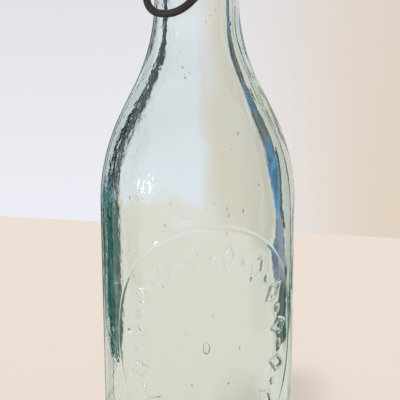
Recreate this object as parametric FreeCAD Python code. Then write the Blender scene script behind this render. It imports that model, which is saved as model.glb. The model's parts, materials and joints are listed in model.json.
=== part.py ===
# Swing top bottle: a blown glass bottle with a wire bail closure, in millimetres, +Z up.
# The hinge line of the closure runs along X and the lever hangs on the -Y side.

import math
import os

import FreeCAD
import Part

Vector = FreeCAD.Vector

# Outside of the glass: drops are measured down from the lip
BOTTLE_HEIGHT = 235.0
BODY_DIAMETER = 63.5
HEEL_BEND = 5.0
SHOULDER_DROP = 99.5
SHOULDER_BEND = 60.0
NECK_DROP = 65.8
NECK_BEND = 60.0
NECK_DIAMETER = 23.0
NECK_TAPER = 3.0
BLOB_HEIGHT = 21.0
BLOB_OVERHANG = 2.7
BLOB_DRAFT = 1.35
BLOB_BEND = 20.0
LIP_CHAMFER = 1.2

# Inside and foot of the glass
BODY_WALL = 5.8
NECK_WALL = 3.5
BASE_THICKNESS = 8.0
FLOOR_BEND = 10.0
FOOT_WIDTH = 9.5
PUSH_UP = 4.0
PUSH_UP_RUN = 9.0
PUSH_UP_BEND = 12.0

# Tie wire round the neck
TIE_WIRE = 1.8
TIE_DROP = 2.5
TAIL_LEAN = 42.0
TAIL_LEAD = 1.9
TAIL_QUARTERS = 6

# Lever and yoke
BAIL_WIRE = 2.35
LEVER_ARM = 7.0
PAST_CENTRE = 0.9
KNEE_RUN = 9.2
KNEE_BEND = 9.4
LOOP_HALF_WIDTH = 6.0
LOOP_BEND = 10.0
LOOP_RISE = 11.1
YOKE_RISE = 1.0
YOKE_BEND = 4.7
BAR_BEND = 3.5

# Stopper and gasket
HEAD_HEIGHT = 14.0
HEAD_INSET = 2.0
HEAD_DRAFT = 1.2
CROWN_INSET = 6.7
CROWN_DROP = 4.0
CROWN_BEND = 8.0
RIM_BEND = 6.0
HOLE_HEIGHT = 6.44
STEM_ROOM = 2.7
PLUG_SWELL = 0.9
PLUG_LENGTH = 2.8
GASKET_INSET = 2.6
GASKET_FLANGE = 2.2
GASKET_NOSE = 2.4
NOSE_ROOM = 1.0
EDGE_BEND = 0.5

# Clearances
PIN_GAP = 0.2
SIDE_GAP = 0.3
TURN_GAP = 0.5
NECK_GAP = 0.05
LOOP_GAP = 0.6
SEAT_GAP = 0.15
STEM_GAP = 0.05

# Places on the glass
body_radius = BODY_DIAMETER / 2
neck_radius = NECK_DIAMETER / 2
blob_radius = neck_radius + BLOB_OVERHANG
lip_radius = blob_radius - BLOB_DRAFT
bore_radius = neck_radius - NECK_WALL
mouth_radius = bore_radius + LIP_CHAMFER
blob_foot = BOTTLE_HEIGHT - BLOB_HEIGHT
shoulder_z = BOTTLE_HEIGHT - SHOULDER_DROP
neck_z = BOTTLE_HEIGHT - NECK_DROP


def glass_radius(z):
    """Outside radius of the neck at a height."""
    return neck_radius + (blob_foot - z) * math.tan(math.radians(NECK_TAPER))


# Places on the closure, from the neck outwards
tie_eye = BAIL_WIRE / 2 + PIN_GAP + TIE_WIRE / 2
lever_eye = BAIL_WIRE + PIN_GAP
tie_z = blob_foot - TIE_DROP
pivot_z = tie_z - tie_eye
tie_radius = glass_radius(tie_z) + NECK_GAP + TIE_WIRE / 2
eye_x = glass_radius(pivot_z - 2 * tie_eye) + NECK_GAP + TIE_WIRE / 2
eye_out_x = eye_x + TIE_WIRE + TURN_GAP
lever_x = eye_out_x + TIE_WIRE / 2 + SIDE_GAP + BAIL_WIRE / 2
lever_out_x = lever_x + BAIL_WIRE + TURN_GAP
yoke_x = lever_out_x + BAIL_WIRE + SIDE_GAP
pin_bend = BAIL_WIRE / 2 + SIDE_GAP
yoke_pin_z = pivot_z - LEVER_ARM
head_z = BOTTLE_HEIGHT + SEAT_GAP + GASKET_FLANGE
head_radius = blob_radius - HEAD_INSET
hole_z = head_z + HOLE_HEIGHT
stem_radius = bore_radius - STEM_ROOM
stem_foot = BOTTLE_HEIGHT - GASKET_NOSE


def rounded_path(points, bends):
    """Straight runs joined by tangent arcs, one bend radius per inner point."""
    edges = []
    start = points[0]
    for before, corner, after, bend in zip(points, points[1:], points[2:], bends):
        into = (corner - before).normalize()
        away = (after - corner).normalize()
        half_turn = into.getAngle(away) / 2
        reach = bend * math.tan(half_turn)
        first = corner - into * reach
        last = corner + away * reach
        if start.distanceToPoint(first) > 1e-6:
            edges.append(Part.LineSegment(start, first).toShape())
        if bend > 0:
            inward = (away - into).normalize()
            middle = corner + inward * (bend / math.cos(half_turn) - bend)
            edges.append(Part.Arc(first, middle, last).toShape())
        start = last
    edges.append(Part.LineSegment(start, points[-1]).toShape())
    return edges


def turned(outline):
    """Solid of revolution about Z from an outline of (radius, height, bend) corners."""
    points = [Vector(radius, 0, z) for radius, z, bend in outline]
    bends = [bend for radius, z, bend in outline[1:-1]]
    edges = rounded_path(points, bends)
    edges.append(Part.LineSegment(points[-1], points[0]).toShape())
    face = Part.Face(Part.Wire(edges))
    return face.revolve(Vector(0, 0, 0), Vector(0, 0, 1), 360)


def route_path(route):
    """Line of a bent wire through a route of (point, bend) pairs."""
    points = [point for point, bend in route]
    bends = [bend for point, bend in route[1:-1]]
    return Part.Wire(rounded_path(points, bends))


def bent_rod(route, diameter):
    """Round wire along a route."""
    start = route[0][0]
    section = Part.Circle(start, route[1][0] - start, diameter / 2).toShape()
    sweep = Part.BRepOffsetAPI.MakePipeShell(route_path(route))
    sweep.add(Part.Wire(section))
    sweep.build()
    sweep.makeSolid()
    return sweep.shape()


def least_gap(route, diameter):
    """Least gap of a bent wire to itself, between points well apart along it."""
    spacing = diameter / 8
    points = route_path(route).discretize(Distance=spacing)
    apart = int(2.5 * diameter / spacing)
    gap = BOTTLE_HEIGHT
    for count, point in enumerate(points):
        for other in points[count + apart:]:
            gap = min(gap, point.distanceToPoint(other) - diameter)
    return gap


def mirrored(route):
    """The same route on the other side of the bottle, walked the other way."""
    return [(Vector(-point.x, point.y, point.z), bend) for point, bend in reversed(route)]


def eye_turns(y, z, radius, heading, turn, first_x, last_x):
    """Corners of a wire that turns round a line along X while it shifts sideways."""
    corners = []
    count = 4
    step = turn / count
    reach = radius / math.cos(math.radians(step / 2))
    for index in range(count):
        angle = math.radians(heading + (index + 0.5) * step)
        x = first_x + (last_x - first_x) * index / (count - 1)
        corner = Vector(x, y + reach * math.sin(angle), z - reach * math.cos(angle))
        corners.append((corner, radius))
    return corners


def make_bottle():
    """Blob top bottle: hollow body, sloping shoulder, tapered neck and a shallow push-up."""
    in_radius = body_radius - BODY_WALL
    foot_radius = body_radius - FOOT_WIDTH
    floor_z = BASE_THICKNESS + PUSH_UP
    outside = [
        (0, PUSH_UP, 0),
        (foot_radius - PUSH_UP_RUN, PUSH_UP, PUSH_UP_BEND),
        (foot_radius, 0, EDGE_BEND),
        (body_radius, 0, HEEL_BEND),
        (body_radius, shoulder_z, SHOULDER_BEND),
        (glass_radius(neck_z), neck_z, NECK_BEND),
        (neck_radius, blob_foot, BLOB_OVERHANG / 2),
        (blob_radius, blob_foot + BLOB_OVERHANG / 2, BLOB_OVERHANG),
        (blob_radius, blob_foot + BLOB_HEIGHT / 2, BLOB_BEND),
        (lip_radius, BOTTLE_HEIGHT, 0.6 * (lip_radius - mouth_radius)),
    ]
    inside = [
        (mouth_radius, BOTTLE_HEIGHT, LIP_CHAMFER / 2),
        (bore_radius, BOTTLE_HEIGHT - LIP_CHAMFER, LIP_CHAMFER / 2),
        (bore_radius, neck_z, NECK_BEND / 2),
        (in_radius, shoulder_z, SHOULDER_BEND - BODY_WALL),
        (in_radius, BASE_THICKNESS, FLOOR_BEND),
        (foot_radius - PUSH_UP_RUN, floor_z, PUSH_UP_BEND),
        (0, floor_z, 0),
    ]
    return turned(outside + inside)


def tail_strand(side, start_y):
    """One strand of the twisted tail behind the neck, from the ring down to its tip."""
    lean = math.radians(TAIL_LEAN)
    along = Vector(0, math.sin(lean), -math.cos(lean))
    across = Vector(0, math.cos(lean), math.sin(lean))
    offset = side * (TIE_WIRE + TURN_GAP) / 2
    start = Vector(0, start_y, tie_z)
    strand = [(start + Vector(offset, 0, 0), 0.7 * TIE_WIRE)]
    for quarter in range(TAIL_QUARTERS):
        angle = math.radians(45 + 90 * quarter)
        reach = offset * math.sqrt(2)
        centre = start + along * (TAIL_LEAD * (quarter + 1.25))
        corner = centre + Vector(reach * math.cos(angle), 0, 0) + across * (reach * math.sin(angle))
        strand.append((corner, TIE_WIRE))
    return strand


def neck_tie_route():
    """Tie wire: twisted ends behind, an eye on each side and a ring that hugs the front."""
    lean = math.radians(45)
    front_y = (eye_x - tie_radius * math.cos(lean)) / math.tan(lean) - tie_radius * math.sin(lean)
    tail_y = tie_radius + TIE_WIRE
    half = [(Vector(eye_out_x, tie_radius / 2, tie_z), 0.7 * tie_radius)]
    half += eye_turns(0, pivot_z, tie_eye, 180, 360, eye_out_x, eye_x)
    half += [(Vector(eye_x, front_y, tie_z), 0.9 * tie_radius)]
    front = [(Vector(0, -tie_radius / math.cos(lean), tie_z), tie_radius)]
    return tail_strand(1, tail_y)[::-1] + half + front + mirrored(half) + tail_strand(-1, tail_y)


def bearing(from_y, from_z, to_y, to_z):
    """Heading in degrees from +Y towards +Z, and the distance."""
    angle = math.degrees(math.atan2(to_z - from_z, to_y - from_y))
    return angle, math.hypot(to_z - from_z, to_y - from_y)


def lever_route():
    """Lever: pins in the tie eyes, an eye for the yoke on each leg and the thumb loop."""
    loop_z = neck_z + LOOP_RISE
    loop_y = -glass_radius(loop_z) - LOOP_GAP - BAIL_WIRE / 2
    angle, distance = bearing(0, pivot_z, PAST_CENTRE, yoke_pin_z)
    heading = angle - math.degrees(math.asin(lever_eye / distance))
    angle, distance = bearing(PAST_CENTRE, yoke_pin_z, loop_y, loop_z)
    leaving = angle + math.degrees(math.asin(lever_eye / distance))
    turn = leaving - heading + 360
    pin_end = eye_x - TIE_WIRE / 2 + SIDE_GAP
    half = [(Vector(pin_end, 0, pivot_z), 0), (Vector(lever_x, 0, pivot_z), pin_bend)]
    half += eye_turns(PAST_CENTRE, yoke_pin_z, lever_eye, heading, turn, lever_x, lever_out_x)
    leg_top = half[-1][0]
    leg = (Vector(lever_out_x, loop_y, loop_z) - leg_top).normalize()
    half += [(leg_top + leg * KNEE_RUN, KNEE_BEND)]
    half += [(Vector(LOOP_HALF_WIDTH, loop_y, loop_z), LOOP_BEND)]
    return half + mirrored(half)


def yoke_route():
    """Yoke: pins in the lever eyes, legs past the blob and a bar through the stopper."""
    turn_z = BOTTLE_HEIGHT + YOKE_RISE
    turn_y = PAST_CENTRE * (hole_z - turn_z) / (hole_z - yoke_pin_z)
    pin_end = lever_x - BAIL_WIRE / 2 + SIDE_GAP
    half = [
        (Vector(pin_end, PAST_CENTRE, yoke_pin_z), 0),
        (Vector(yoke_x, PAST_CENTRE, yoke_pin_z), pin_bend),
        (Vector(yoke_x, turn_y, turn_z), YOKE_BEND),
        (Vector(head_radius + BAIL_WIRE, 0, hole_z), BAR_BEND),
    ]
    return half + mirrored(half)


def make_stopper():
    """Domed head with a cross hole, on a stem whose swollen end keeps the gasket."""
    top = head_z + HEAD_HEIGHT
    plug_radius = stem_radius + PLUG_SWELL
    plug_foot = stem_foot - PLUG_LENGTH
    head = turned([
        (0, top, 0),
        (head_radius - CROWN_INSET, top, CROWN_BEND),
        (head_radius - HEAD_DRAFT, top - CROWN_DROP, RIM_BEND),
        (head_radius, head_z, 2 * EDGE_BEND),
        (stem_radius, head_z, 0),
        (stem_radius, stem_foot, 0),
        (plug_radius, stem_foot, EDGE_BEND),
        (plug_radius, plug_foot, 0.7 * PLUG_LENGTH),
        (0, plug_foot, 0),
    ])
    start = Vector(-2 * head_radius, 0, hole_z)
    hole = Part.makeCylinder(BAIL_WIRE / 2 + PIN_GAP, 4 * head_radius, start, Vector(1, 0, 0))
    return head.cut(hole)


def make_gasket():
    """Rubber ring under the head: a flange over the lip and a tapered nose in the mouth."""
    hole_radius = stem_radius + STEM_GAP
    flange_foot = BOTTLE_HEIGHT + SEAT_GAP
    flange_radius = blob_radius - GASKET_INSET
    return turned([
        (hole_radius, stem_foot, 0),
        (bore_radius - NOSE_ROOM, stem_foot, EDGE_BEND),
        (mouth_radius - NOSE_ROOM, flange_foot, EDGE_BEND / 2),
        (flange_radius, flange_foot, EDGE_BEND),
        (flange_radius, head_z, EDGE_BEND),
        (hole_radius, head_z, 0),
    ])


os.makedirs("parts", exist_ok=True)
make_bottle().exportStep("parts/glass_bottle.step")
bent_rod(neck_tie_route(), TIE_WIRE).exportStep("parts/neck_tie.step")
bent_rod(lever_route(), BAIL_WIRE).exportStep("parts/lever_bail.step")
bent_rod(yoke_route(), BAIL_WIRE).exportStep("parts/yoke_bail.step")
make_stopper().exportStep("parts/porcelain_stopper.step")
make_gasket().exportStep("parts/rubber_gasket.step")
print("least gap in neck tie", round(least_gap(neck_tie_route(), TIE_WIRE), 3))
print("least gap in lever", round(least_gap(lever_route(), BAIL_WIRE), 3))
print("lever pivot", round(pivot_z, 3), "yoke pin", round(yoke_pin_z, 3))
print("cross hole", round(hole_z, 3), "top", round(head_z + HEAD_HEIGHT, 3))
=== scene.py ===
# %% [markdown]
# # Swing top bottle
# An old aqua glass bottle with a blob top and a wire bail closure. The solids come from the CAD frame,
# in metres; this lesson dresses them. Sizes below are written in millimetres and scaled once.

import json
import math
import random

import bmesh
import bpy
from mathutils import Matrix, Quaternion, Vector, noise


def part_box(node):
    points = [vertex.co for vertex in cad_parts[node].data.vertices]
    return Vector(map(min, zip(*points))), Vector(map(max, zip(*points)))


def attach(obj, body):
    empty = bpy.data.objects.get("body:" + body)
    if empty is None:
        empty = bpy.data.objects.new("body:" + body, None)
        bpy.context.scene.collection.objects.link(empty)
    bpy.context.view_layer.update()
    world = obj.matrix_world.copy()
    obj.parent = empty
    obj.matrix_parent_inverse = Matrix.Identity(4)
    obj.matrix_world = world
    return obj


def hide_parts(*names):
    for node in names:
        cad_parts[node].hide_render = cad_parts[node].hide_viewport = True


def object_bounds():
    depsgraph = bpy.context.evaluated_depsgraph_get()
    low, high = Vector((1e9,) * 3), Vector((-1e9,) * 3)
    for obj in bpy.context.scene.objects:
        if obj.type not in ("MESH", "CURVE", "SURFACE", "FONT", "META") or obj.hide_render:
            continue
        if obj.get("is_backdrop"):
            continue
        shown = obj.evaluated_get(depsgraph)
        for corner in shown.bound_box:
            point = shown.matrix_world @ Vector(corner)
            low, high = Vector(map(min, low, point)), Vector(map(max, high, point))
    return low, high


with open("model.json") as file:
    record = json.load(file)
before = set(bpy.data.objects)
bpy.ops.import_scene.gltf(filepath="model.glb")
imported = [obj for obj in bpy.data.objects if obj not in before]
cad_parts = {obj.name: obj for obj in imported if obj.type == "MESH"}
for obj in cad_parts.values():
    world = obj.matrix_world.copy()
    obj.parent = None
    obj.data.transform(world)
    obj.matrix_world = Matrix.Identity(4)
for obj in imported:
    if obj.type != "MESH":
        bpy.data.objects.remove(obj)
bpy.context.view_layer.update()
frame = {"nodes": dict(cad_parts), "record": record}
MM = 0.001
print("nodes", sorted(frame["nodes"]))

# %% [markdown]
# ## Camera
# The camera comes first, because every later choice is judged through it. It stands a little above the
# shoulder and looks down at the middle of the body through a long lens, so the sides stay nearly
# parallel. It is aimed a little beside the axis instead of being shifted, and held a hair off level.

# %% Camera at the photograph's angle
CAMERA_AZIMUTH = math.radians(41.0)
CAMERA_DOWN = math.radians(12.5)
CAMERA_DISTANCE = 320.0
CAMERA_TARGET_HEIGHT = 120.5
CAMERA_AIM_RIGHT = 0.7
CAMERA_LENS = 88.9
CAMERA_ROLL = math.radians(-0.25)

view_right = Vector((math.cos(CAMERA_AZIMUTH), math.sin(CAMERA_AZIMUTH), 0))
view_away = Vector((-math.sin(CAMERA_AZIMUTH), math.cos(CAMERA_AZIMUTH), 0))
axis_point = Vector((0, 0, CAMERA_TARGET_HEIGHT))
back = -view_away * math.cos(CAMERA_DOWN) + Vector((0, 0, math.sin(CAMERA_DOWN)))
camera_place = axis_point + back * CAMERA_DISTANCE
aim = axis_point + view_right * CAMERA_AIM_RIGHT - camera_place

camera = bpy.data.objects.new("camera", bpy.data.cameras.new("camera"))
bpy.context.collection.objects.link(camera)
camera.data.lens = CAMERA_LENS
camera.location = camera_place * MM
camera.rotation_mode = "QUATERNION"
camera.rotation_quaternion = aim.to_track_quat("-Z", "Y") @ Quaternion((0, 0, 1), CAMERA_ROLL)
bpy.context.scene.camera = camera
print("camera at", [round(value) for value in camera_place], "mm")

# %% [markdown]
# ## Colours and nodes
# Colours are written as the eye reads them, in sRGB hex, and one function makes them linear for the
# shaders. Another adds a node with its settings and links, so a material reads from top to bottom.


# %% Helpers for materials
def linear(hex_colour):
    """Linear RGBA of an sRGB hex colour."""
    channels = [int(hex_colour[place:place + 2], 16) / 255 for place in (1, 3, 5)]
    light = [c / 12.92 if c <= 0.04045 else ((c + 0.055) / 1.055) ** 2.4 for c in channels]
    return (*light, 1.0)


def add_node(tree, kind, settings, inputs):
    """A new node with its settings; an input is a constant or another node's socket."""
    made = tree.nodes.new(kind)
    for name, value in settings.items():
        setattr(made, name, value)
    for key, value in inputs.items():
        if isinstance(value, bpy.types.NodeSocket):
            tree.links.new(value, made.inputs[key])
        else:
            made.inputs[key].default_value = value
    return made


def new_material(name):
    """A node material with an empty tree."""
    material = bpy.data.materials.new(name)
    material.use_nodes = True
    material.node_tree.nodes.clear()
    return material, material.node_tree


print("mid grey is", round(linear("#808080")[0], 3), "in linear light")

# %% [markdown]
# ## Stage
# Clear glass shows what stands round it. A pale table ends against a pale wall, which is the world's own
# colour, lavender on one side and peach on the other, and a little duller higher up. The wall is only a
# colour, so it hides nothing from a camera behind the bottle.

# %% Wall, as the colour of the world
WALL_LEFT = linear("#edeef5")
WALL_LEFT_HIGH = linear("#e3e2e6")
WALL_RIGHT = linear("#e1d2c1")
WALL_RIGHT_HIGH = linear("#e0d4c9")
AMBIENT = 0.71
# where the tone turns and where it dulls, as the parts of a ray's direction to the right and upwards
TONE_START, TONE_END = -0.01, 0.21
DULL_START, DULL_END = -0.22, -0.01

world = bpy.data.worlds.new("pale room")
bpy.context.scene.world = world
world.use_nodes = True
tree = world.node_tree
tree.nodes.clear()
ray = add_node(tree, "ShaderNodeTexCoord", {}, {})
across = add_node(tree, "ShaderNodeVectorMath", {"operation": "DOT_PRODUCT"},
                  {0: ray.outputs["Generated"], 1: view_right})
share = add_node(tree, "ShaderNodeMapRange", {"interpolation_type": "SMOOTHSTEP"},
                 {"Value": across.outputs["Value"], "From Min": TONE_START, "From Max": TONE_END})
upwards = add_node(tree, "ShaderNodeSeparateXYZ", {}, {0: ray.outputs["Generated"]})
dulled = add_node(tree, "ShaderNodeMapRange", {},
                  {"Value": upwards.outputs["Z"], "From Min": DULL_START, "From Max": DULL_END})
wall_left = add_node(tree, "ShaderNodeMix", {"data_type": "RGBA"},
                     {0: dulled.outputs[0], 6: WALL_LEFT, 7: WALL_LEFT_HIGH})
wall_right = add_node(tree, "ShaderNodeMix", {"data_type": "RGBA"},
                      {0: dulled.outputs[0], 6: WALL_RIGHT, 7: WALL_RIGHT_HIGH})
wall = add_node(tree, "ShaderNodeMix", {"data_type": "RGBA"},
                {0: share.outputs[0], 6: wall_left.outputs[2], 7: wall_right.outputs[2]})
seen = add_node(tree, "ShaderNodeBackground", {}, {"Color": wall.outputs[2], "Strength": 1.0})
fill = add_node(tree, "ShaderNodeBackground", {}, {"Color": linear("#ffffff"), "Strength": AMBIENT})
light_path = add_node(tree, "ShaderNodeLightPath", {}, {})
looked_at = add_node(tree, "ShaderNodeMath", {"operation": "MAXIMUM"},
                     {0: light_path.outputs["Is Camera Ray"], 1: light_path.outputs["Is Glossy Ray"]})
direct = add_node(tree, "ShaderNodeMath", {"operation": "MAXIMUM"},
                  {0: looked_at.outputs[0], 1: light_path.outputs["Is Transmission Ray"]})
either = add_node(tree, "ShaderNodeMixShader", {},
                  {0: direct.outputs[0], 1: fill.outputs[0], 2: seen.outputs[0]})
add_node(tree, "ShaderNodeOutputWorld", {}, {"Surface": either.outputs[0]})
print("world:", world.name)

# %% [markdown]
# The table is one large card that ends where the wall begins. In the photograph that line slants a little, so
# the far edge is cut at a slant.

# %% Table
WALL_AWAY = 445.0
WALL_LEAN = -0.25
FLOOR_REACH = 8000.0


def on_stage(away, right, height=0.0):
    """A place in metres from mm: away from the camera and to its right, measured from the axis."""
    return (view_away * away + view_right * right + Vector((0, 0, height))) * MM


def stage_card(name, corners, material):
    """A flat card of the stage through its corners."""
    mesh = bpy.data.meshes.new(name)
    mesh.from_pydata(corners, [], [list(range(len(corners)))])
    mesh.materials.append(material)
    card = bpy.data.objects.new(name, mesh)
    bpy.context.collection.objects.link(card)
    card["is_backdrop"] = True
    return card


table_top, tree = new_material("painted table top")
paint = add_node(tree, "ShaderNodeBsdfPrincipled", {},
                 {"Base Color": linear("#f6e9dd"), "Roughness": 0.6, "Specular IOR Level": 0.0})
add_node(tree, "ShaderNodeOutputMaterial", {}, {"Surface": paint.outputs[0]})
stage_card("floor", [
    on_stage(-FLOOR_REACH, -FLOOR_REACH),
    on_stage(-FLOOR_REACH, FLOOR_REACH),
    on_stage(WALL_AWAY + WALL_LEAN * FLOOR_REACH, FLOOR_REACH),
    on_stage(WALL_AWAY - WALL_LEAN * FLOOR_REACH, -FLOOR_REACH),
], table_top)
print("floor ends", WALL_AWAY, "mm behind the bottle")

# %% [markdown]
# ## Light
# A sun in front and to the left makes the shapes and a soft shadow. It lights the floor evenly and is kept
# out of reflections. A small soft box, low at the left like a window, is there only for the glints on the
# shoulder, so it lights nothing dull. Light runs a long way along a thick wall, so many bounces are allowed:
# with few, the edges turn black instead of teal.

# %% Lamps
LAMP_AWAY = 1200.0
SUN_SPREAD = math.radians(5)
WINDOW_SIZE = 110.0
BOUNCES = 32


def lamp_from(name, kind, energy, left, up):
    """A lamp aimed at the bottle; angles in degrees, to the left of the camera's side and up."""
    turn = math.radians(left)
    rise = math.radians(up)
    flat = -view_away * math.cos(turn) - view_right * math.sin(turn)
    direction = flat * math.cos(rise) + Vector((0, 0, math.sin(rise)))
    light = bpy.data.lights.new(name, kind)
    light.energy = energy
    lamp = bpy.data.objects.new(name, light)
    bpy.context.collection.objects.link(lamp)
    lamp.location = (axis_point + direction * LAMP_AWAY) * MM
    lamp.rotation_mode = "QUATERNION"
    lamp.rotation_quaternion = direction.to_track_quat("Z", "Y")
    return lamp


key = lamp_from("key", "SUN", energy=0.77, left=18, up=59)
key.data.angle = SUN_SPREAD
key.visible_glossy = False
key.visible_transmission = False
window = lamp_from("window", "AREA", energy=2.3, left=65, up=4)
window.data.size = WINDOW_SIZE * MM
window.visible_diffuse = False
bpy.context.scene.cycles.max_bounces = BOUNCES
bpy.context.scene.cycles.glossy_bounces = BOUNCES
bpy.context.scene.cycles.transmission_bounces = BOUNCES
print("two lamps, and light may cross the glass", BOUNCES, "times")

# %% [markdown]
# ## Glass
# The bottle was blown into a mould, so its outside is slightly wavy, and its inside, which nothing touched,
# is uneven. The mesh is turned from the same corners as the CAD solid, one ring of points per row, and then
# pushed in and out by slow noise. Refraction needs real thickness, so outside, lip and inside are one skin.

# %% Outline of the glass
# driving sizes of the CAD bottle in mm
BOTTLE_HEIGHT = 235.0
BODY_RADIUS = 31.75
BODY_WALL = 5.8
HEEL_BEND = 5.0
FOOT_WIDTH = 9.5
EDGE_BEND = 0.5
PUSH_UP = 4.0
PUSH_UP_RUN = 9.0
PUSH_UP_BEND = 12.0
BASE_THICKNESS = 8.0
FLOOR_BEND = 10.0
SHOULDER_HEIGHT = 135.5
SHOULDER_BEND = 60.0
NECK_FOOT = 169.2
NECK_FOOT_RADIUS = 13.85
NECK_BEND = 60.0
NECK_RADIUS = 11.5
NECK_WALL = 3.5
BLOB_HEIGHT = 21.0
BLOB_OVERHANG = 2.7
BLOB_DRAFT = 1.35
BLOB_BEND = 20.0
LIP_CHAMFER = 1.2
LIP_ROUND = 0.6
# how finely the outline is cut into rows
ROW_SPACING = 1.75
ARC_STEPS = 4
SHORTEST_RUN = 1e-3

inside_radius = BODY_RADIUS - BODY_WALL
foot_radius = BODY_RADIUS - FOOT_WIDTH
push_up_radius = foot_radius - PUSH_UP_RUN
bore_radius = NECK_RADIUS - NECK_WALL
blob_radius = NECK_RADIUS + BLOB_OVERHANG
blob_foot = BOTTLE_HEIGHT - BLOB_HEIGHT
lip_radius = blob_radius - BLOB_DRAFT
mouth_radius = bore_radius + LIP_CHAMFER
outline = [
    # radius, height and bend of each corner, from the middle of the base over the lip to the inside
    (0, PUSH_UP, 0),
    (push_up_radius, PUSH_UP, PUSH_UP_BEND),
    (foot_radius, 0, EDGE_BEND),
    (BODY_RADIUS, 0, HEEL_BEND),
    (BODY_RADIUS, SHOULDER_HEIGHT, SHOULDER_BEND),
    (NECK_FOOT_RADIUS, NECK_FOOT, NECK_BEND),
    (NECK_RADIUS, blob_foot, BLOB_OVERHANG / 2),
    (blob_radius, blob_foot + BLOB_OVERHANG / 2, BLOB_OVERHANG),
    (blob_radius, blob_foot + BLOB_HEIGHT / 2, BLOB_BEND),
    (lip_radius, BOTTLE_HEIGHT, LIP_ROUND * (lip_radius - mouth_radius)),
    (mouth_radius, BOTTLE_HEIGHT, LIP_CHAMFER / 2),
    (bore_radius, BOTTLE_HEIGHT - LIP_CHAMFER, LIP_CHAMFER / 2),
    (bore_radius, NECK_FOOT, NECK_BEND / 2),
    (inside_radius, SHOULDER_HEIGHT, SHOULDER_BEND - BODY_WALL),
    (inside_radius, BASE_THICKNESS, FLOOR_BEND),
    (push_up_radius, PUSH_UP + BASE_THICKNESS, PUSH_UP_BEND),
    (0, PUSH_UP + BASE_THICKNESS, 0),
]


def rounded(corners, spacing):
    """Points along straight runs joined by tangent arcs, from (radius, height, bend) corners."""
    places = [Vector(corner[:2]) for corner in corners]
    path = [places[0]]

    def run_to(place):
        start = path[-1]
        length = (place - start).length
        if length > SHORTEST_RUN:
            count = max(1, round(length / spacing))
            path.extend(start.lerp(place, (step + 1) / count) for step in range(count))

    for before, corner, after, (_, _, bend) in zip(places, places[1:], places[2:], corners[1:]):
        into = (corner - before).normalized()
        away = (after - corner).normalized()
        turn = math.atan2(into.x * away.y - into.y * away.x, into.dot(away))
        run_to(corner - into * bend * math.tan(abs(turn) / 2))
        start = path[-1]
        side = Vector((-into.y, into.x)) * math.copysign(bend, turn)
        count = max(ARC_STEPS, round(bend * abs(turn) / spacing))
        for step in range(1, count + 1):
            path.append(start + side - Matrix.Rotation(turn * step / count, 2) @ side)
    run_to(places[-1])
    return path


def radius_at(line, height):
    """Radius of a line of (radius, height) points where it passes a height."""
    for one, other in zip(line, line[1:]):
        if one.y != other.y and min(one.y, other.y) <= height <= max(one.y, other.y):
            return one.lerp(other, (height - one.y) / (other.y - one.y)).x
    return 0.0


path = rounded(outline, ROW_SPACING)
lip = max(range(len(path)), key=lambda place: (round(path[place].y, 3), path[place].x))
outer_line = path[:lip + 1]
inner_line = path[lip + 1:]
print(len(outer_line), "rows outside and", len(inner_line), "inside")
for height in (60, 130, 154, 200):
    wall_here = radius_at(outer_line, height) - radius_at(inner_line, height)
    print("wall at", height, "mm is", round(wall_here, 2), "mm")

# %% [markdown]
# A photographer sets flags round clear glass, because its edges throw back light from the sides and need
# something dark there to draw them. These stand well away from it, and only light that the glass has thrown
# back shows them, inside the wall or, for most, off the outside too: what is seen straight through the bottle
# stays clear from every side. They glow in teal, navy, blue and slate, so the colours in the glass edges are
# painted reflections, and the streaks on them are painted reflection for the drawn-out unevenness of old
# glass.

# %% Glowing flags round the glass, for painted reflections in its edges
LEFT, RIGHT = -1, 1
FLAG_AWAY = 200.0
STREAK_MM = 18.0
STREAK_DRAWN = 0.5
STREAK_LOW, STREAK_HIGH = 0.38, 0.62
STREAK_LIFT = 1.4
flags = [
    # name, side, whether the outside mirrors it, how streaky, colour of the painted reflection, and per
    # height in mm its near and far edge, in degrees from straight behind the bottle
    ("rim_shade", LEFT, True, 0.5, "#0c2a2c", [(14, 20, 24), (30, 4, 27), (90, 4, 27), (110, 16, 24)]),
    ("mottled_teal", LEFT, True, 0.75, "#1c524e",
     [(1, 62, 66), (8, 40, 67), (14, 33, 68), (62, 33, 68), (76, 52, 68)]),
    ("grey_teal", LEFT, True, 0.6, "#527479", [(62, 32, 33), (76, 32, 52), (92, 36, 68), (112, 42, 46)]),
    ("navy", LEFT, True, 0.75, "#0a1c28", [(76, 52, 68), (92, 66, 68), (112, 46, 68), (235, 36, 68)]),
    ("slate", RIGHT, True, 0.35, "#727d91", [(56, 60, 68), (62, 44, 68), (78, 44, 68)]),
    ("blue", RIGHT, True, 0.4, "#3d82ac", [(78, 48, 68), (140, 50, 68)]),
    ("steel", RIGHT, True, 0.6, "#35647f", [(140, 50, 68), (170, 50, 68)]),
    ("iron", RIGHT, True, 0.75, "#48565b", [(170, 50, 68), (220, 42, 68)]),
    ("night_edge", RIGHT, False, 0.35, "#10262c", [(70, 40, 48), (140, 42, 50)]),
    ("rim_green", RIGHT, False, 0.5, "#0c3a2c", [(60, 4, 11), (100, 4, 11), (112, 7, 14), (160, 7, 14)]),
    ("bottle_green", RIGHT, True, 0.75, "#14403f", [(2, 60, 64), (20, 36, 66), (56, 36, 60), (62, 36, 44)]),
]


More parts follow.
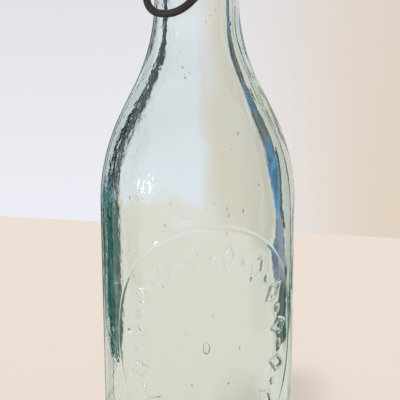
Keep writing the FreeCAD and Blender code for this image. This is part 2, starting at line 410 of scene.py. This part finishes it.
def painted_reflection_material(name, colour, streaky):
    """A streaky glow that only light thrown back by the glass can see: a painted reflection in the glass
    edges.
    """
    material, tree = new_material(name + " card")
    place = add_node(tree, "ShaderNodeTexCoord", {}, {})
    drawn = add_node(tree, "ShaderNodeVectorMath", {"operation": "MULTIPLY"},
                     {0: place.outputs["Object"], 1: (1, 1, STREAK_DRAWN)})
    streaks = add_node(tree, "ShaderNodeTexNoise", {},
                       {"Vector": drawn.outputs[0], "Scale": 1 / (STREAK_MM * MM), "Detail": 3.0})
    strength = add_node(tree, "ShaderNodeMapRange", {},
                        {"Value": streaks.outputs[0], "From Min": STREAK_LOW, "From Max": STREAK_HIGH,
                         "To Min": 1 - streaky, "To Max": 1 + STREAK_LIFT * streaky})
    # painted reflection: the card glows in its colour, and the glass edges show that glow
    glow = add_node(tree, "ShaderNodeEmission", {},
                    {"Color": linear(colour), "Strength": strength.outputs[0]})
    ray = add_node(tree, "ShaderNodeLightPath", {}, {})
    turned = add_node(tree, "ShaderNodeMath", {"operation": "GREATER_THAN"},
                      {0: ray.outputs["Glossy Depth"], 1: 0.5})
    nothing = add_node(tree, "ShaderNodeBsdfTransparent", {}, {})
    seen_back = add_node(tree, "ShaderNodeMixShader", {},
                         {0: turned.outputs[0], 1: nothing.outputs[0], 2: glow.outputs[0]})
    add_node(tree, "ShaderNodeOutputMaterial", {}, {"Surface": seen_back.outputs[0]})
    return material


def flag_corner(side, degrees, height):
    """A corner of a flag, on a circle round the bottle."""
    turn = math.radians(degrees)
    return on_stage(FLAG_AWAY * math.cos(turn), side * FLAG_AWAY * math.sin(turn), height)


for name, side, mirrored, streaky, colour, edges in flags:
    near_edge = [flag_corner(side, near, height) for height, near, far in edges]
    far_edge = [flag_corner(side, far, height) for height, near, far in edges]
    flag = stage_card(name + "_flag", near_edge + far_edge[::-1], painted_reflection_material(name, colour, streaky))
    flag.visible_camera = False
    flag.visible_diffuse = False
    flag.visible_glossy = mirrored
    flag.visible_shadow = False
print(len(flags), "flags")

# %% [markdown]
# ## Waves
# The waves only ever move the outside inwards from the CAD surface, so the bottle stays in its box. The
# body's skin lies a little deeper, which leaves room for raised lines. The inside is freer: the body's wall
# is thicker low down than high up, heavy on the camera's right and on the left shoulder, and thin in the
# neck. Each change sets in and dies away between two heights or radii in mm, so nothing steps.

# %% Waves of the glass
SKIN = 0.42
# share, length in mm and seed of each wave
OUTSIDE_WAVES = [(0.55, 22, 3), (0.3, 7, 9)]
INSIDE_WAVES = [(0.6, 26, 21), (0.35, 8, 33)]
WAVE_RADIUS = 28
WAVE_UPRIGHT = 0.6
# depth of the waves in mm, and how much more there is on the body
OUTSIDE_DEPTH, OUTSIDE_BODY = 0.04, 0.12
INSIDE_DEPTH, INSIDE_BODY = 0.18, 0.4
HEAVY_AZIMUTH = math.radians(108)
HEAVY_SIDE = 2.2
HEAVY_SHOULDER = 0.5
WEDGE = 0.9
NECK_THINNED = 1.1
NECK_ASIDE = 0.1


def fade(value, start, end):
    """0 before start, 1 after end, and smooth between."""
    share = min(max((value - start) / (end - start), 0), 1)
    return share * share * (3 - 2 * share)


def stretch(value, start, full, fading, end):
    """0 up to start, 1 from full to fading, 0 again from end on."""
    return fade(value, start, full) * (1 - fade(value, fading, end))


def waves(azimuth, height, kinds):
    """Smooth noise on the round of the bottle, summed over its waves."""
    spot = Vector((math.sin(azimuth) * WAVE_RADIUS, -math.cos(azimuth) * WAVE_RADIUS, WAVE_UPRIGHT * height))
    return sum(share * noise.noise(spot / length + Vector((seed, 0, 0))) for share, length, seed in kinds)


def outside_shift(radius, height, azimuth):
    """How far the outside lies from the CAD surface, in mm along the radius: always inwards."""
    standing = fade(height, 2, 8) * fade(radius, 8, 12)
    skin = SKIN * fade(radius, 20, 31) * fade(height, 2, 8)
    body = fade(radius, 11, 16) * fade(height, 4, 14)
    wavy = 0.5 + 0.5 * waves(azimuth, height, OUTSIDE_WAVES)
    return -skin - standing * (OUTSIDE_DEPTH + OUTSIDE_BODY * body) * wavy


def inside_shift(radius, height, azimuth):
    """How far the inside lies from the CAD surface, in mm along the radius."""
    free = stretch(height, 14, 30, 205, 225)
    body = fade(radius, 8, 24)
    wavy = (INSIDE_DEPTH + INSIDE_BODY * body) * waves(azimuth, height, INSIDE_WAVES)
    wedge = WEDGE * (fade(height, 78, 136) - 0.5) * fade(height, 20, 60) * fade(radius, 18, 25)
    side = math.cos(azimuth - HEAVY_AZIMUTH)
    thick = HEAVY_SIDE * fade(side, 0.4, 0.95) * stretch(height, 70, 140, 142, 168)
    thick += HEAVY_SHOULDER * fade(-side, 0.3, 0.85) * stretch(height, 122, 140, 150, 180)
    bore = (NECK_THINNED - NECK_ASIDE * side) * stretch(height, 145, 172, 204, 226)
    return free * (wavy + wedge - thick + bore)


def glass_point(radius, height, azimuth):
    """A point in metres; azimuth 0 is the lever's side and it grows towards +X."""
    return Vector((radius * math.sin(azimuth), -radius * math.cos(azimuth), max(height, 0.0))) * MM


print("skin at mid body", round(outside_shift(BODY_RADIUS, 80, 0), 3), "mm")

# %% [markdown]
# The mould had a round plate let into it, which left a thin raised ring on the body with a border of small
# lozenges and beads inside it. A grid of rows and columns can't carry a fine ring, so a window is left
# open in the body and filled with loops that follow the ring itself. Two mould seams run up the sides.

# %% Raised plate and seams
PLATE_AZIMUTH = math.radians(48.5)
PLATE_HEIGHT = 81.5
PLATE_OVAL = 1.136
RING_RADIUS = 33.0
RING_WIDTH = 1.2
RING_RISE = 0.2
RING_SHARPNESS = 1.6
RELIEF = 0.4
BORDER_RADIUS = 25.6
BORDER_COUNT = 30
BEAD_RADIUS = 1.2
LOZENGE_ALONG = 2.7
LOZENGE_OUT = 5.0
LOZENGE_SIZE = 0.72
LOZENGE_LINE = 0.21
SEAM_TURN = math.radians(90)
SEAM_HALF = 0.6
SEAM_CREST = 0.32
SEAM_RISE = 0.16


def ridge(distance, half_width, sharpness=0.7):
    """A rounded ridge: 1 on its crest, 0 at its foot; a low sharpness makes its foot steep."""
    return max(0.0, 1 - (distance / half_width) ** 2) ** sharpness


def relief(x, y):
    """Height of the plate's lines in mm, at a place measured in ring units from the plate's middle."""
    reach = math.hypot(x, y)
    ring = RING_RISE * ridge(abs(reach - RING_RADIUS), RING_WIDTH / 2, RING_SHARPNESS)
    turn = math.atan2(y, x) / (2 * math.pi) * BORDER_COUNT
    along = (turn - math.floor(turn) - 0.5) * 2 * math.pi * BORDER_RADIUS / BORDER_COUNT
    out = reach - BORDER_RADIUS
    if math.floor(turn) % 2:
        ornament = ridge(math.hypot(along, out), BEAD_RADIUS)
    else:
        from_middle = abs(along) / LOZENGE_ALONG + abs(out) / LOZENGE_OUT
        ornament = ridge(abs(from_middle - LOZENGE_SIZE), LOZENGE_LINE)
    return max(ring, RELIEF * ornament)


def seam(height, turn):
    """Height of the mould seams in mm, at an angle from the plate's middle."""
    gap = abs(abs(turn) - SEAM_TURN) * BODY_RADIUS
    return SEAM_RISE * ridge(gap, SEAM_HALF) * stretch(height, 5, 9, 190, 200)


print("ring crest", relief(RING_RADIUS, 0), "mm")

# %% [markdown]
# The skin is a grid: a row of points for each place on the outline, and a column every two degrees, with a
# few more columns at the seams. Points that would lie inside the plate's window are left out.

# %% Skin of the glass with a window
PLATE_STEPS = 64
COLUMN_TURN = math.radians(2)
ROW_GAP = 0.6
ON_AXIS = 1e-6
SEAM_COLUMNS = (-SEAM_HALF, -SEAM_CREST, SEAM_CREST, SEAM_HALF)
plate_half = BODY_RADIUS * COLUMN_TURN * PLATE_STEPS / 2
plate_low = PLATE_HEIGHT - plate_half * PLATE_OVAL
plate_high = PLATE_HEIGHT + plate_half * PLATE_OVAL
plate_rows = [Vector((BODY_RADIUS, plate_low + (plate_high - plate_low) * step / PLATE_STEPS))
              for step in range(PLATE_STEPS + 1)]
below = [place for place in outer_line if place.y < plate_low - ROW_GAP]
above = [place for place in outer_line if place.y > plate_high + ROW_GAP]
first_plate_row = len(below)
rows = below + plate_rows + above + inner_line
inner_start = len(rows) - len(inner_line)

half_round = round(math.pi / COLUMN_TURN)
turns = [COLUMN_TURN * step for step in range(-half_round, half_round)]
for side in (LEFT, RIGHT):
    turns += [side * SEAM_TURN + offset / BODY_RADIUS for offset in SEAM_COLUMNS]
turns.sort()
window_start = min(range(len(turns)), key=lambda place: abs(turns[place] + COLUMN_TURN * PLATE_STEPS / 2))
glass = bmesh.new()


def skin_vertex(radius, height, turn, inside):
    """One point of the skin at an angle from the plate's middle."""
    azimuth = PLATE_AZIMUTH + turn
    if inside:
        shift = inside_shift(radius, height, azimuth)
    else:
        shift = outside_shift(radius, height, azimuth) + seam(height, turn) * fade(radius, 9, 11)
    return glass.verts.new(glass_point(radius + shift, height, azimuth))


grid = []
for row, (radius, height) in enumerate(rows):
    if radius < ON_AXIS:
        grid.append([glass.verts.new((0, 0, height * MM))])
        continue
    line = []
    for column, turn in enumerate(turns):
        covered = 0 < row - first_plate_row < PLATE_STEPS and 0 < column - window_start < PLATE_STEPS
        line.append(None if covered else skin_vertex(radius, height, turn, row >= inner_start))
    grid.append(line)

for low, high in zip(grid, grid[1:]):
    for column in range(len(turns)):
        after = (column + 1) % len(turns)
        if len(low) == 1:
            corners = [low[0], high[after], high[column]]
        elif len(high) == 1:
            corners = [low[column], low[after], high[0]]
        else:
            corners = [low[column], low[after], high[after], high[column]]
        if None not in corners:
            glass.faces.new(corners)
print(len(glass.verts), "points before the plate is filled")

# %% [markdown]
# Loops run from the window's square to circles and, inside the border, back to a square grid. Near the ring
# and the border they have twice as many points, so that the raised lines come out crisp.


# %% Fill the window with the plate
def square_walk(steps):
    """Points once round a square of half side 1, from its lower left corner."""
    shares = [2 * place / steps - 1 for place in range(steps)]
    return ([(share, -1) for share in shares] + [(1, share) for share in shares]
            + [(-share, 1) for share in shares] + [(-1, -share) for share in shares])


def plate_vertex(x, y):
    """One point of the plate, from ring units, with its relief."""
    turn = x / BODY_RADIUS
    height = PLATE_HEIGHT + y * PLATE_OVAL
    shift = outside_shift(BODY_RADIUS, height, PLATE_AZIMUTH + turn) + relief(x, y)
    return glass.verts.new(glass_point(BODY_RADIUS + min(shift, 0), height, PLATE_AZIMUTH + turn))


def plate_loop(steps, radius, square_half, squareness):
    """A loop between a circle and a square."""
    loop = []
    for x, y in square_walk(steps):
        round_share = (1 - squareness) * radius / math.hypot(x, y)
        reach = round_share + squareness * square_half
        loop.append(plate_vertex(x * reach, y * reach))
    return loop


def join_loops(outer, inner):
    """Faces between two loops; one of them may have twice the points."""
    count = min(len(outer), len(inner))
    out, into = len(outer) // count, len(inner) // count
    for step in range(count):
        rim = [outer[(step * out + place) % len(outer)] for place in range(out + 1)]
        heart = [inner[(step * into + place) % len(inner)] for place in range(into + 1)]
        glass.faces.new(rim + heart[::-1])


def plate_step(share):
    """Number of the row or column at a share from -1 to 1 across the window."""
    return round((share + 1) * PLATE_STEPS / 2)


CORE_HALF = 12.5
RING_MARGIN = 1.6
RING_STEPS = [1.5, 1.15, 0.9, 0.72, 0.55, 0.35, 0.12, -0.12, -0.35, -0.55, -0.72, -0.9, -1.2, -1.7, -2.3]
BORDER_STEPS = [-2.9 - 0.31 * step for step in range(31)]
CORE_MARGIN = 0.6
loops = [[grid[first_plate_row + plate_step(y)][window_start + plate_step(x)]
          for x, y in square_walk(PLATE_STEPS)]]
for share in (0.75, 0.5, 0.3, 0.12):
    loops.append(plate_loop(PLATE_STEPS, RING_RADIUS + RING_MARGIN, plate_half, share))
for step in RING_STEPS + BORDER_STEPS:
    loops.append(plate_loop(2 * PLATE_STEPS, RING_RADIUS + step, 0, 0))
inner_circle = RING_RADIUS + BORDER_STEPS[-1] - CORE_MARGIN
for share in (0, 0.2, 0.4, 0.6, 0.8, 1):
    loops.append(plate_loop(PLATE_STEPS, inner_circle, CORE_HALF, share))
for outer, inner in zip(loops, loops[1:]):
    join_loops(outer, inner)

core = {}
for (x, y), vertex in zip(square_walk(PLATE_STEPS), loops[-1]):
    core[plate_step(x), plate_step(y)] = vertex
core_places = [(2 * step / PLATE_STEPS - 1) * CORE_HALF for step in range(PLATE_STEPS)]
for i in range(1, PLATE_STEPS):
    for j in range(1, PLATE_STEPS):
        core[i, j] = plate_vertex(core_places[i], core_places[j])
for i in range(PLATE_STEPS):
    for j in range(PLATE_STEPS):
        glass.faces.new([core[i, j], core[i + 1, j], core[i + 1, j + 1], core[i, j + 1]])
skin_mesh = bpy.data.meshes.new("glass skin")
glass.to_mesh(skin_mesh)
glass.free()
print(len(skin_mesh.polygons), "faces in the skin")

# %% [markdown]
# Old glass holds seeds: small bubbles that were drawn out upwards as the bottle was blown. One flat blister
# lies near the middle of the plate. Each is a small closed skin inside the wall that faces inwards, so light
# leaves the glass there and enters it again.

# %% Seeds in the wall
SEED_DRAWN = (1.1, 2.0)
SEED_INWARDS = 0.3
SEED_SEGMENTS = 10
SEED_RINGS = 6
BLISTER_AZIMUTH = math.radians(45.7)
BLISTER_HEIGHT = 80.8
# azimuth in degrees and height in mm of the larger seeds, and their least and greatest half size in mm
SEED_SPOTS = [(23.5, 164), (27.7, 161), (70.5, 145), (80, 130), (66, 80), (59, 69), (21.5, 119), (58, 124),
              (59, 122), (68, 123), (37, 69), (-3, 126), (20, 100)]
SPOT_SIZES = (0.22, 0.33)
# for the back and the front: count, and the limits of azimuth in radians, height and half size in mm
SEED_GROUPS = [
    (50, (2, 5.5), (20, 205), (0.15, 0.35)),
    (40, (-0.6, 2), (90, 205), (0.1, 0.17)),
]
draw = random.Random(11)
seeds = [(math.radians(turn), height, draw.uniform(*SPOT_SIZES)) for turn, height in SEED_SPOTS]
for count, azimuths, heights, sizes in SEED_GROUPS:
    for _ in range(count):
        seeds.append((draw.uniform(*azimuths), draw.uniform(*heights), draw.uniform(*sizes)))
bubbles = bmesh.new()


def add_bubble(azimuth, height, across, through, tall):
    """A closed bubble near the middle of the wall; its half sizes are in mm."""
    middle = (radius_at(outer_line, height) + radius_at(inner_line, height)) / 2 - SEED_INWARDS
    place = Matrix.Translation(glass_point(middle, height, azimuth)) @ Matrix.Rotation(azimuth, 4, "Z")
    size = Matrix.Diagonal((across * MM, through * MM, tall * MM, 1))
    bmesh.ops.create_uvsphere(bubbles, u_segments=SEED_SEGMENTS, v_segments=SEED_RINGS, radius=1,
                              matrix=place @ size)


for azimuth, height, size in seeds:
    add_bubble(azimuth, height, size, size, size * draw.uniform(*SEED_DRAWN))
add_bubble(BLISTER_AZIMUTH, BLISTER_HEIGHT, across=1.1, through=0.25, tall=1.9)
bmesh.ops.reverse_faces(bubbles, faces=bubbles.faces[:])
bubbles.from_mesh(skin_mesh)
for face in bubbles.faces:
    face.smooth = True
bottle_mesh = bpy.data.meshes.new("aqua_glass_bottle")
bubbles.to_mesh(bottle_mesh)
bubbles.free()
bpy.data.meshes.remove(skin_mesh)
bottle = bpy.data.objects.new("aqua_glass_bottle", bottle_mesh)
bpy.context.collection.objects.link(bottle)
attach(bottle, "bottle")
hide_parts("glass_bottle")
print(len(bottle_mesh.vertices), "points in the glass with", len(seeds) + 1, "bubbles")

# %% [markdown]
# Soda-lime glass melted from sand with a little iron is pale aqua: the iron takes out red. Colour that
# belongs to the depth of the glass is given to its volume, so thick edges and the heavy base are greener than
# the thin wall. The mould's chilled face left fine upright ripples, too fine for the mesh, as a bump. They
# are strongest near one seam, where the mould was coldest, and in one spot on the shoulder. Between the seams
# the glass has a slight haze, which softens what is seen through the middle.

# %% Aqua soda-lime glass
RIPPLE_MM = 1.9
RIPPLE_DEPTH = 0.14
RIPPLE_UPRIGHT = 0.6
CHILL_SPOT = glass_point(31, 132, math.radians(6))
CHILL_INNER = 4.0
CHILL_OUTER = 12.0
HAZE = 0.09
# between these the cold sets in and the haze fades out, as cosines of the angle from a seam
COLD_FROM, COLD_FULL = 0.62, 0.9
HAZE_FADES, HAZE_GONE = 0.45, 0.7
TINT = linear("#8fe0da")
TINT_DENSITY = 21.0
aqua, tree = new_material("aqua soda-lime glass, mould blown")
place = add_node(tree, "ShaderNodeTexCoord", {}, {})
upright = add_node(tree, "ShaderNodeVectorMath", {"operation": "MULTIPLY"},
                   {0: place.outputs["Object"], 1: (1, 1, RIPPLE_UPRIGHT)})
ripples = add_node(tree, "ShaderNodeTexNoise", {},
                   {"Vector": upright.outputs[0], "Scale": 1 / (RIPPLE_MM * MM), "Detail": 2.0})
from_spot = add_node(tree, "ShaderNodeVectorMath", {"operation": "DISTANCE"},
                     {0: place.outputs["Object"], 1: CHILL_SPOT})
chill = add_node(tree, "ShaderNodeMapRange", {"interpolation_type": "SMOOTHSTEP"},
                 {"Value": from_spot.outputs["Value"], "From Min": CHILL_INNER * MM,
                  "From Max": CHILL_OUTER * MM, "To Min": 1.5, "To Max": 0.0})
flat = add_node(tree, "ShaderNodeVectorMath", {"operation": "MULTIPLY"},
                {0: place.outputs["Object"], 1: (1, 1, 0)})
outwards = add_node(tree, "ShaderNodeVectorMath", {"operation": "NORMALIZE"}, {0: flat.outputs[0]})
to_seam = add_node(tree, "ShaderNodeVectorMath", {"operation": "DOT_PRODUCT"},
                   {0: outwards.outputs[0], 1: glass_point(1 / MM, 0, PLATE_AZIMUTH - SEAM_TURN)})
cold = add_node(tree, "ShaderNodeMapRange", {"interpolation_type": "SMOOTHSTEP"},
                {"Value": to_seam.outputs["Value"], "From Min": COLD_FROM, "From Max": COLD_FULL,
                 "To Min": 0.12, "To Max": 0.6})
off_middle = add_node(tree, "ShaderNodeMath", {"operation": "ABSOLUTE"}, {0: to_seam.outputs["Value"]})
haze = add_node(tree, "ShaderNodeMapRange", {"interpolation_type": "SMOOTHSTEP"},
                {"Value": off_middle.outputs[0], "From Min": HAZE_FADES, "From Max": HAZE_GONE,
                 "To Min": HAZE, "To Max": 0.0})
most = add_node(tree, "ShaderNodeMath", {"operation": "MAXIMUM"},
                {0: chill.outputs[0], 1: cold.outputs[0]})
depth = add_node(tree, "ShaderNodeMath", {"operation": "MULTIPLY"},
                 {0: ripples.outputs[0], 1: most.outputs[0]})
rippled = add_node(tree, "ShaderNodeBump", {},
                   {"Strength": 1.0, "Distance": RIPPLE_DEPTH * MM, "Height": depth.outputs[0]})
clear = add_node(tree, "ShaderNodeBsdfPrincipled", {}, {
    "Base Color": (1, 1, 1, 1), "Roughness": haze.outputs[0], "IOR": 1.5, "Transmission Weight": 1.0,
    "Normal": rippled.outputs[0]})
tint = add_node(tree, "ShaderNodeVolumeAbsorption", {}, {"Color": TINT, "Density": TINT_DENSITY})
add_node(tree, "ShaderNodeOutputMaterial", {}, {"Surface": clear.outputs[0], "Volume": tint.outputs[0]})
bottle.data.materials.append(aqua)
print(aqua.name)

# %% [markdown]
# ## Wire
# The closure is bent from annealed iron wire that has rusted: nearly black oxide with a purple cast, brown
# rust in patches, and a surface etched into fine pits that catch small sparks of light. Real pits are about a
# tenth of a millimetre wide, so they are drawn coarser here, as a bump.


# %% Rusted iron wire
def dress(node, material):
    """Gives a CAD node one material."""
    piece = frame["nodes"][node]
    piece.data.materials.clear()
    piece.data.materials.append(material)


RUST_PATCH_MM = 5.0
PIT_MM = 0.55
PIT_DEPTH = 0.16
rust, tree = new_material("annealed iron wire, rusted")
place = add_node(tree, "ShaderNodeTexCoord", {}, {})
patches = add_node(tree, "ShaderNodeTexNoise", {},
                   {"Vector": place.outputs["Object"], "Scale": 1 / (RUST_PATCH_MM * MM), "Detail": 5.0,
                    "Roughness": 0.65})
warm = add_node(tree, "ShaderNodeMapRange", {},
                {"Value": patches.outputs[0], "From Min": 0.52, "From Max": 0.74})
grain = add_node(tree, "ShaderNodeTexNoise", {},
                 {"Vector": place.outputs["Object"], "Scale": 1 / (PIT_MM * MM), "Detail": 4.0})
oxide = add_node(tree, "ShaderNodeMix", {"data_type": "RGBA"},
                 {0: grain.outputs[0], 6: linear("#141215"), 7: linear("#3a3439")})
brown = add_node(tree, "ShaderNodeMix", {"data_type": "RGBA"},
                 {0: grain.outputs[0], 6: linear("#2a1b16"), 7: linear("#5f3e2d")})
colour = add_node(tree, "ShaderNodeMix", {"data_type": "RGBA"},
                  {0: warm.outputs[0], 6: oxide.outputs[2], 7: brown.outputs[2]})
rough = add_node(tree, "ShaderNodeMapRange", {},
                 {"Value": patches.outputs[0], "From Min": 0.4, "From Max": 0.66,
                  "To Min": 0.28, "To Max": 0.72})
pits = add_node(tree, "ShaderNodeBump", {},
                {"Strength": 0.8, "Distance": PIT_DEPTH * MM, "Height": grain.outputs[0]})
iron = add_node(tree, "ShaderNodeBsdfPrincipled", {}, {
    "Base Color": colour.outputs[2], "Metallic": 0.35, "Roughness": rough.outputs[0],
    "Normal": pits.outputs[0]})
add_node(tree, "ShaderNodeOutputMaterial", {}, {"Surface": iron.outputs[0]})
for wire in ("neck_tie", "lever_bail", "yoke_bail"):
    dress(wire, rust)
print(rust.name)

# %% [markdown]
# ## Stopper
# The stopper is slip-cast porcelain under a clear glaze. Over the years the glaze has crazed into a net of
# hair cracks that hold dirt, and rust has run from the hole for the yoke wire. The net comes from the
# distance to the edges of Voronoi cells; real hair cracks would be too fine to show, so they are drawn wider.

# %% Glazed porcelain
CLOUD_MM = 9.0
CRAZE_MM = 3.2
CRAZE_WOBBLE = 0.0015
STAIN_START = 1.0
STAIN_END = 4.5
china, tree = new_material("slip-cast porcelain, glazed")
place = add_node(tree, "ShaderNodeTexCoord", {}, {})
cloud = add_node(tree, "ShaderNodeTexNoise", {},
                 {"Vector": place.outputs["Object"], "Scale": 1 / (CLOUD_MM * MM), "Detail": 4.0})
body = add_node(tree, "ShaderNodeMix", {"data_type": "RGBA"},
                {0: cloud.outputs[0], 6: linear("#ece7dc"), 7: linear("#d8cdb8")})
wobble = add_node(tree, "ShaderNodeMix", {"data_type": "VECTOR"},
                  {0: CRAZE_WOBBLE, 4: place.outputs["Object"], 5: cloud.outputs["Color"]})
net = add_node(tree, "ShaderNodeTexVoronoi", {"feature": "DISTANCE_TO_EDGE"},
               {"Vector": wobble.outputs[1], "Scale": 1 / (CRAZE_MM * MM)})
crack = add_node(tree, "ShaderNodeMapRange", {},
                 {"Value": net.outputs["Distance"], "From Min": 0.0, "From Max": 0.05,
                  "To Min": 0.36, "To Max": 0.0})
crazed = add_node(tree, "ShaderNodeMix", {"data_type": "RGBA"},
                  {0: crack.outputs[0], 6: body.outputs[2], 7: linear("#8a765c")})
stopper_low, stopper_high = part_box("porcelain_stopper")
joints = {joint["name"]: joint for joint in frame["record"]["behaviour"]["joints"]}
hole = Vector(joints["stopper_tilt"]["pos_m"])
apart = add_node(tree, "ShaderNodeVectorMath", {"operation": "SUBTRACT"},
                 {0: place.outputs["Object"], 1: hole})
across_hole = add_node(tree, "ShaderNodeVectorMath", {"operation": "MULTIPLY"},
                       {0: apart.outputs[0], 1: (0, 1, 0.55)})
off_hole = add_node(tree, "ShaderNodeVectorMath", {"operation": "LENGTH"}, {0: across_hole.outputs[0]})
near_hole = add_node(tree, "ShaderNodeMapRange", {"interpolation_type": "SMOOTHSTEP"},
                     {"Value": off_hole.outputs["Value"], "From Min": STAIN_START * MM,
                      "From Max": STAIN_END * MM, "To Min": 1.0, "To Max": 0.0})
runs = add_node(tree, "ShaderNodeMath", {"operation": "MULTIPLY"},
                {0: near_hole.outputs[0], 1: cloud.outputs[0]})
stained = add_node(tree, "ShaderNodeMix", {"data_type": "RGBA"},
                   {0: runs.outputs[0], 6: crazed.outputs[2], 7: linear("#7a4425")})
glaze = add_node(tree, "ShaderNodeBsdfPrincipled", {}, {
    "Base Color": stained.outputs[2], "Roughness": 0.16, "IOR": 1.5})
add_node(tree, "ShaderNodeOutputMaterial", {}, {"Surface": glaze.outputs[0]})
dress("porcelain_stopper", china)
print(china.name, "over", round((stopper_high - stopper_low).z / MM, 1), "mm")

# %% [markdown]
# ## Gasket
# The gasket is red rubber, vulcanised and moulded. Age has bleached its face to a dusty brick colour and
# opened short cracks across it, which stay darker.

# %% Aged rubber
DUST_MM = 1.6
CRACK_MM = 1.4
CRACK_DEPTH = 0.15
rubber, tree = new_material("vulcanised red rubber, aged")
place = add_node(tree, "ShaderNodeTexCoord", {}, {})
dust = add_node(tree, "ShaderNodeTexNoise", {},
                {"Vector": place.outputs["Object"], "Scale": 1 / (DUST_MM * MM), "Detail": 5.0})
faded = add_node(tree, "ShaderNodeMix", {"data_type": "RGBA"},
                 {0: dust.outputs[0], 6: linear("#5e2a20"), 7: linear("#95614f")})
cells = add_node(tree, "ShaderNodeTexVoronoi", {"feature": "DISTANCE_TO_EDGE"},
                 {"Vector": place.outputs["Object"], "Scale": 1 / (CRACK_MM * MM)})
split = add_node(tree, "ShaderNodeMapRange", {},
                 {"Value": cells.outputs["Distance"], "From Min": 0.0, "From Max": 0.12,
                  "To Min": 0.8, "To Max": 0.0})
colour = add_node(tree, "ShaderNodeMix", {"data_type": "RGBA"},
                  {0: split.outputs[0], 6: faded.outputs[2], 7: linear("#351510")})
lips = add_node(tree, "ShaderNodeBump", {"invert": True},
                {"Strength": 0.6, "Distance": CRACK_DEPTH * MM, "Height": split.outputs[0]})
dull = add_node(tree, "ShaderNodeBsdfPrincipled", {}, {
    "Base Color": colour.outputs[2], "Roughness": 0.82, "Normal": lips.outputs[0]})
add_node(tree, "ShaderNodeOutputMaterial", {}, {"Surface": dull.outputs[0]})
dress("rubber_gasket", rubber)
print(rubber.name)

# %% [markdown]
# ## Finish
# The dressed bottle has to stay inside the box of the solids, so the box of the dressed pieces is printed.

# %% Sizes, and done
bpy.context.scene.view_settings.view_transform = "Standard"
low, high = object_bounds()
print("visual box", [round(side, 5) for side in high - low])
